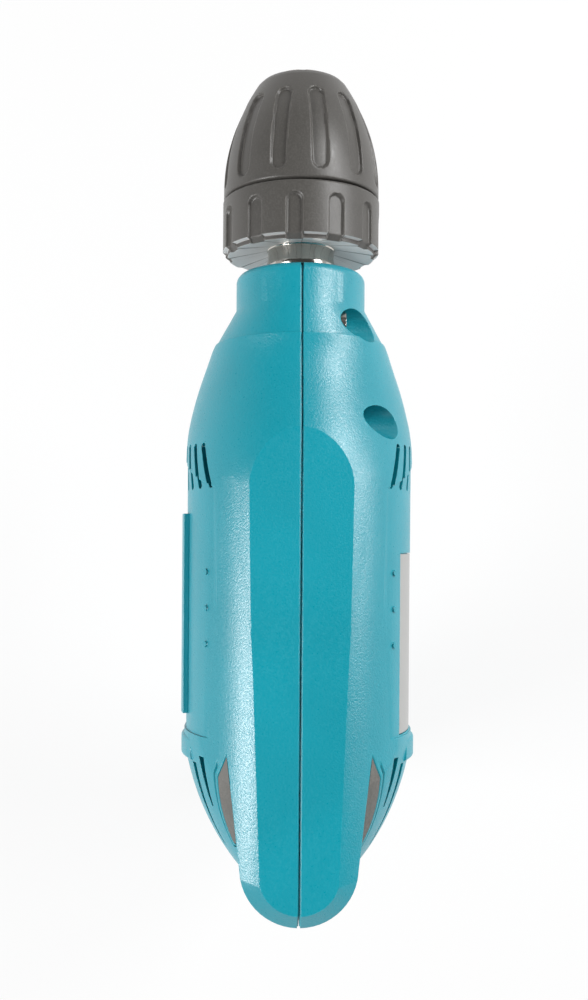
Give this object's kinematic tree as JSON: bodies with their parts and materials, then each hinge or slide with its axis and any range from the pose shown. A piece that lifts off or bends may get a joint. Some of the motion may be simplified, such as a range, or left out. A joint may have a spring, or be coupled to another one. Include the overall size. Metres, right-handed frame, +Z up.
{
  "type": "power drill",
  "caption": "Corded pistol-grip power drill with a two-sleeve keyless chuck, split housing, trigger, lock button and reverse lever.",
  "frame": {"origin": "on the spindle axis in the front face of the housing collar", "axes": "+X forward along the spindle to the chuck, +Y to the tool's left, +Z up, handle down"},
  "size_m": [0.2332, 0.0643, 0.1862],
  "materials": {
    "shell": "teal glass-filled nylon with a fine moulded grain",
    "chuck_black": "satin black moulded plastic",
    "control_black": "black moulded plastic",
    "inner_plastic": "plain inner mouldings",
    "soft_grey": "warm grey soft pad",
    "plate_silver": "satin silver blank plate",
    "bright_steel": "polished steel",
    "dark_steel": "hardened oil-finished steel",
    "lamination": "stacked sheet steel, varnished",
    "copper": "enamelled copper",
    "cast_aluminium": "die-cast aluminium",
    "bronze": "bronze and brass",
    "carbon": "pressed carbon"
  },
  "bodies": {
    "root": {"bearing_bridge": "cast_aluminium", "brush_holder_left": "bronze", "brush_holder_right": "bronze", "brush_spring_left": "dark_steel", "brush_spring_right": "dark_steel", "capacitor": "inner_plastic", "carbon_brush_left": "carbon", "carbon_brush_right": "carbon", "cord_gland": "control_black", "fan_baffle": "inner_plastic", "field_coil_lower": "copper", "field_coil_upper": "copper", "housing_left": "shell", "housing_right": "shell", "housing_screws": "bright_steel", "motor_bearing_front_outer": "bright_steel", "motor_bearing_rear_outer": "bright_steel", "name_plate_left": "shell", "name_plate_right": "plate_silver", "spindle_bearing_outer": "bright_steel", "spindle_bush": "bronze", "stator_core": "lamination", "switch_body": "control_black", "thumb_pad_left": "soft_grey", "thumb_pad_right": "soft_grey"},
    "spindle": {"spindle": "bright_steel", "spindle_gear": "dark_steel", "spindle_bearing_inner": "bright_steel", "chuck_body": "bright_steel", "chuck_ring": "chuck_black", "chuck_screw": "bright_steel", "thrust_balls": "bright_steel"},
    "armature": {"armature_shaft": "dark_steel", "armature_core": "lamination", "armature_winding": "copper", "commutator": "copper", "fan": "inner_plastic", "motor_bearing_front_inner": "bright_steel", "motor_bearing_rear_inner": "bright_steel"},
    "sleeve": {"chuck_sleeve": "chuck_black", "jaw_nut": "dark_steel"},
    "jaw_1": {"jaw_1": "dark_steel"},
    "jaw_2": {"jaw_2": "dark_steel"},
    "jaw_3": {"jaw_3": "dark_steel"},
    "trigger": {"trigger": "control_black"},
    "lock_button": {"lock_button": "control_black"},
    "reverse_lever": {"reverse_lever": "control_black"}
  },
  "joints": [
    {"name": "spindle_spin", "type": "hinge", "parent": "root", "child": "spindle", "pos_m": [0, 0, 0], "axis": [1, 0, 0], "continuous": true},
    {"name": "armature_spin", "type": "hinge", "parent": "root", "child": "armature", "pos_m": [0, 0, -0.01595], "axis": [1, 0, 0], "continuous": true},
    {"name": "sleeve_turn", "type": "hinge", "parent": "spindle", "child": "sleeve", "pos_m": [0, 0, 0], "axis": [1, 0, 0], "range_deg": [0, 2290]},
    {"name": "jaw_1_slide", "type": "slide", "parent": "spindle", "child": "jaw_1", "axis": [0.9563, 0, -0.2924], "range_m": [0, 0.01591]},
    {"name": "jaw_2_slide", "type": "slide", "parent": "spindle", "child": "jaw_2", "axis": [0.9563, -0.2532, 0.1462], "range_m": [0, 0.01591]},
    {"name": "jaw_3_slide", "type": "slide", "parent": "spindle", "child": "jaw_3", "axis": [0.9563, 0.2532, 0.1462], "range_m": [0, 0.01591]},
    {"name": "trigger_pull", "type": "slide", "parent": "root", "child": "trigger", "axis": [-1, 0, 0], "range_m": [0, 0.0065], "stiffness_N_per_m": 900, "springref_m": -0.003},
    {"name": "lock_button_press", "type": "slide", "parent": "root", "child": "lock_button", "axis": [0, -1, 0], "range_m": [0, 0.0025], "stiffness_N_per_m": 700, "springref_m": -0.002},
    {"name": "reverse_lever_swing", "type": "hinge", "parent": "root", "child": "reverse_lever", "pos_m": [-0.14, 0, -0.056], "axis": [0, 0, 1], "range_deg": [-9, 9]}
  ],
  "couplings": [
    {"joint": "armature_spin", "follows": "spindle_spin", "ratio": -6.25},
    {"joint": "jaw_1_slide", "follows": "sleeve_turn", "m_per_rad": 0.00039789},
    {"joint": "jaw_2_slide", "follows": "sleeve_turn", "m_per_rad": 0.00039789},
    {"joint": "jaw_3_slide", "follows": "sleeve_turn", "m_per_rad": 0.00039789}
  ]
}
